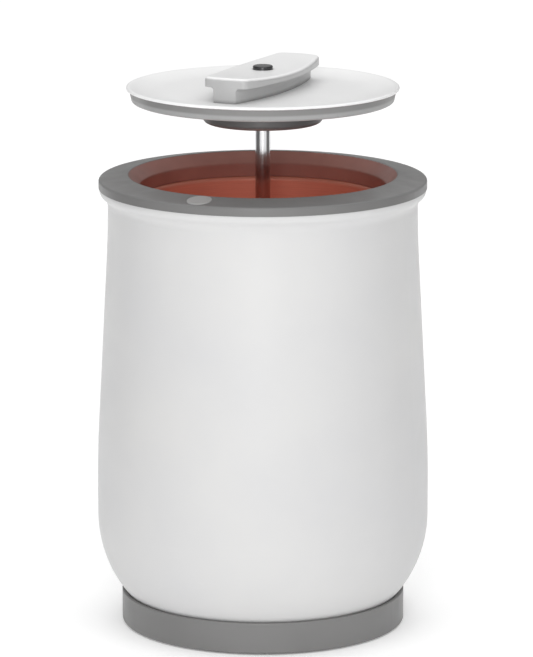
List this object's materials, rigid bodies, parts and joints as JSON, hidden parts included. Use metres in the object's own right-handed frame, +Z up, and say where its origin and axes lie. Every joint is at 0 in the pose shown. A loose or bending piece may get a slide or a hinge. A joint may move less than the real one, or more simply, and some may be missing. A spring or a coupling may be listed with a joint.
{
  "type": "heated towel bucket",
  "caption": "Free-standing round heated bucket for warming towels, with a waisted shell, grey rim collar, power button and a lift-off lid with a bar handle and rod.",
  "frame": {"origin": "centre of the base, on the floor that the feet stand on", "axes": "+Z up, front (the power button's side) towards -Y, power inlet at +Y"},
  "size_m": [0.3213, 0.3214, 0.5471],
  "materials": {
    "white_shell": "satin",
    "grey_plastic": "satin",
    "button_plastic": "satin",
    "dark_plastic": "fine grain",
    "pot_metal": "copper-brown anodised",
    "chrome": "polished",
    "rod_cap": "black chrome",
    "steel": "zinc plated",
    "rubber": "matte",
    "heater": "silicone sheet",
    "felt": "ceramic fibre felt",
    "board": "solder mask",
    "brass": "plated",
    "white_parts": "moulded",
    "wire": "silicone insulation",
    "disc_plastic": "satin"
  },
  "bodies": {
    "bucket": {"base_ring": "grey_plastic", "base_plate": "dark_plastic", "rubber_feet": "rubber", "base_screws": "steel", "outer_shell": "white_shell", "shell_screws": "steel", "inner_pot": "pot_metal", "rim_collar": "grey_plastic", "collar_screws": "steel", "button_case": "dark_plastic", "button_screws": "steel", "button_board": "board", "button_switch": "dark_plastic", "button_spring": "steel", "heater_film": "heater", "heater_straps": "steel", "insulation_jacket": "felt", "thermostat": "steel", "sensor_bracket": "steel", "bracket_nuts": "steel", "thermal_fuse": "white_parts", "fuse_clip": "steel", "power_inlet": "dark_plastic", "inlet_pins": "brass", "control_board": "board", "board_posts": "white_parts", "board_screws": "steel", "transformer": "dark_plastic", "relay": "white_parts", "capacitor": "dark_plastic", "terminal_block": "white_parts", "board_socket": "white_parts", "mains_leads": "wire", "heater_leads": "wire", "sensor_leads": "wire", "button_lead": "wire"},
    "lid": {"lid_top": "white_shell", "lid_pan": "grey_plastic", "lid_screws": "steel", "lid_disc": "disc_plastic", "lid_rod": "chrome", "rod_nut": "steel", "handle": "white_shell", "handle_screws": "steel", "rod_cap": "rod_cap"},
    "button": {"power_button": "button_plastic"}
  },
  "joints": [
    {"name": "lid_lift", "type": "slide", "parent": "bucket", "child": "lid", "axis": [0, 0, 1], "range_m": [-0.0755, 0.27]},
    {"name": "button_press", "type": "slide", "parent": "bucket", "child": "button", "axis": [0, -0.1564, 0.9877], "range_m": [-0.0008, 0], "stiffness_N_per_m": 400, "springref_m": 0.0001, "deforming": ["button_spring"]}
  ]
}
